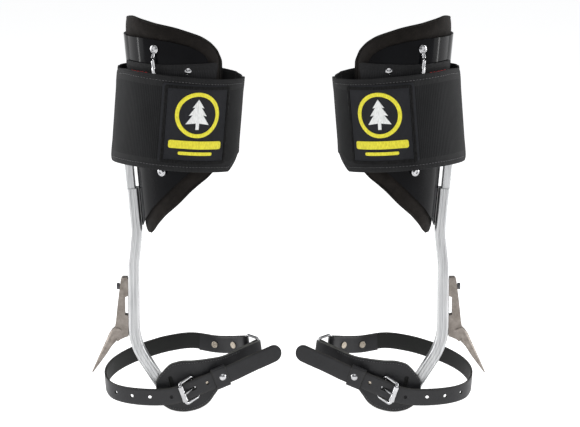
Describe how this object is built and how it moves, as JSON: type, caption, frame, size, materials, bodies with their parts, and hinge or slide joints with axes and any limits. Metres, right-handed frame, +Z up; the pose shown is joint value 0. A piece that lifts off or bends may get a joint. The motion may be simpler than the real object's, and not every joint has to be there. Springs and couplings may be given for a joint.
{
  "type": "tree climbing spurs",
  "caption": "Pair of arborist climbing spurs: bent aluminium shank, bolted forged gaff, padded calf cuff with wide hook-and-loop strap, and leather foot strap with roller buckle.",
  "frame": {"origin": "on the floor under the middle of the pair, at the lowest point of the foot strap pads", "axes": "+Z up along the wearer's legs, +X across the pair towards the right-hand spur as drawn, +Y away from the buckled front of the straps"},
  "size_m": [0.556, 0.1856, 0.5658],
  "materials": {
    "satin_aluminium": "satin anodised",
    "forged_steel": "forged and ground, warm grey",
    "black_fastener": "black oxide",
    "grip_rubber": "matte",
    "plated_steel": "bright zinc and nickel plate",
    "gloss_shell": "high gloss",
    "pad_cloth": "woven matte",
    "webbing": "ribbed weave",
    "patch_cloth": "embroidered",
    "red_tape": "woven tape",
    "strap_leather": "smooth, dyed edges",
    "rivet_metal": "nickelled brass"
  },
  "bodies": {
    "left_spur": {"left_shank": "satin_aluminium", "left_gaff": "forged_steel", "left_gaff_bolts": "black_fastener", "left_tread_grip": "grip_rubber", "left_pad_screw": "plated_steel"},
    "left_calf_cuff": {"left_height_clamp": "satin_aluminium", "left_clamp_screws": "plated_steel", "left_calf_shield": "gloss_shell", "left_shield_bolts": "plated_steel", "left_calf_pad": "pad_cloth", "left_retainer_bars": "plated_steel", "left_retainer_screws": "plated_steel", "left_inner_calf_strap": "webbing", "left_strap_anchor_rivets": "plated_steel", "left_outer_calf_strap": "webbing"},
    "left_strap_flap": {"left_calf_strap_flap": "webbing", "left_flap_patch": "patch_cloth", "left_pull_tab": "red_tape"},
    "left_foot_loop": {"left_foot_strap": "strap_leather", "left_buckle_pad": "strap_leather", "left_pad_grommet": "rivet_metal", "left_buckle_chape": "strap_leather", "left_strap_rivets": "rivet_metal", "left_end_ring": "plated_steel"},
    "left_buckle": {"left_buckle_frame": "plated_steel"},
    "left_prong": {"left_buckle_prong": "plated_steel"},
    "left_roller": {"left_buckle_roller": "plated_steel"},
    "left_keeper": {"left_keeper_loop": "strap_leather", "left_keeper_rivet": "plated_steel"},
    "right_spur": {"right_shank": "satin_aluminium", "right_gaff": "forged_steel", "right_gaff_bolts": "black_fastener", "right_tread_grip": "grip_rubber", "right_pad_screw": "plated_steel"},
    "right_calf_cuff": {"right_height_clamp": "satin_aluminium", "right_clamp_screws": "plated_steel", "right_calf_shield": "gloss_shell", "right_shield_bolts": "plated_steel", "right_calf_pad": "pad_cloth", "right_retainer_bars": "plated_steel", "right_retainer_screws": "plated_steel", "right_inner_calf_strap": "webbing", "right_strap_anchor_rivets": "plated_steel", "right_outer_calf_strap": "webbing"},
    "right_strap_flap": {"right_calf_strap_flap": "webbing", "right_flap_patch": "patch_cloth", "right_pull_tab": "red_tape"},
    "right_foot_loop": {"right_foot_strap": "strap_leather", "right_buckle_pad": "strap_leather", "right_pad_grommet": "rivet_metal", "right_buckle_chape": "strap_leather", "right_strap_rivets": "rivet_metal", "right_end_ring": "plated_steel"},
    "right_buckle": {"right_buckle_frame": "plated_steel"},
    "right_prong": {"right_buckle_prong": "plated_steel"},
    "right_roller": {"right_buckle_roller": "plated_steel"},
    "right_keeper": {"right_keeper_loop": "strap_leather", "right_keeper_rivet": "plated_steel"}
  },
  "joints": [
    {"name": "left_cuff_height", "type": "slide", "parent": "left_spur", "child": "left_calf_cuff", "axis": [-0.0872, 0, 0.9962], "range_m": [-0.015, 0.025]},
    {"name": "left_flap_open", "type": "hinge", "parent": "left_calf_cuff", "child": "left_strap_flap", "pos_m": [-0.24026, -0.0264, 0.42676], "axis": [-0.0785, 0, -0.9969], "range_deg": [0, 90]},
    {"name": "left_foot_strap_swivel", "type": "hinge", "parent": "left_spur", "child": "left_foot_loop", "pos_m": [-0.147, -0.0254, 0.027], "axis": [0, 1, 0], "range_deg": [-5, 8]},
    {"name": "left_buckle_lift", "type": "hinge", "parent": "left_foot_loop", "child": "left_buckle", "pos_m": [-0.13145, -0.03255, 0.0395], "axis": [-0.3346, -0.0711, 0.9397], "range_deg": [0, 15]},
    {"name": "left_prong_lift", "type": "hinge", "parent": "left_buckle", "child": "left_prong", "pos_m": [-0.13145, -0.03255, 0.0395], "axis": [-0.3346, -0.0711, 0.9397], "range_deg": [0, 10]},
    {"name": "left_roller_spin", "type": "hinge", "parent": "left_buckle", "child": "left_roller", "pos_m": [-0.1481, -0.04917, 0.03232], "axis": [-0.3346, -0.0711, 0.9397], "continuous": true},
    {"name": "left_keeper_slide", "type": "slide", "parent": "left_foot_loop", "child": "left_keeper", "axis": [0.9192, 0.195, 0.3421], "range_m": [-0.005, 0.008]},
    {"name": "right_cuff_height", "type": "slide", "parent": "right_spur", "child": "right_calf_cuff", "axis": [0.0872, 0, 0.9962], "range_m": [-0.015, 0.025]},
    {"name": "right_flap_open", "type": "hinge", "parent": "right_calf_cuff", "child": "right_strap_flap", "pos_m": [0.24026, -0.0264, 0.42676], "axis": [-0.0785, 0, 0.9969], "range_deg": [0, 90]},
    {"name": "right_foot_strap_swivel", "type": "hinge", "parent": "right_spur", "child": "right_foot_loop", "pos_m": [0.147, -0.0254, 0.027], "axis": [0, -1, 0], "range_deg": [-5, 8]},
    {"name": "right_buckle_lift", "type": "hinge", "parent": "right_foot_loop", "child": "right_buckle", "pos_m": [0.13145, -0.03255, 0.0395], "axis": [-0.3346, 0.0711, -0.9397], "range_deg": [0, 15]},
    {"name": "right_prong_lift", "type": "hinge", "parent": "right_buckle", "child": "right_prong", "pos_m": [0.13145, -0.03255, 0.0395], "axis": [-0.3346, 0.0711, -0.9397], "range_deg": [0, 10]},
    {"name": "right_roller_spin", "type": "hinge", "parent": "right_buckle", "child": "right_roller", "pos_m": [0.1481, -0.04917, 0.03232], "axis": [-0.3346, 0.0711, -0.9397], "continuous": true},
    {"name": "right_keeper_slide", "type": "slide", "parent": "right_foot_loop", "child": "right_keeper", "axis": [-0.9192, 0.195, 0.3421], "range_m": [-0.005, 0.008]},
    {"name": "right_spur_lift", "type": "slide", "parent": "left_spur", "child": "right_spur", "axis": [0, 0, 1], "range_m": [0, 0.3]}
  ]
}
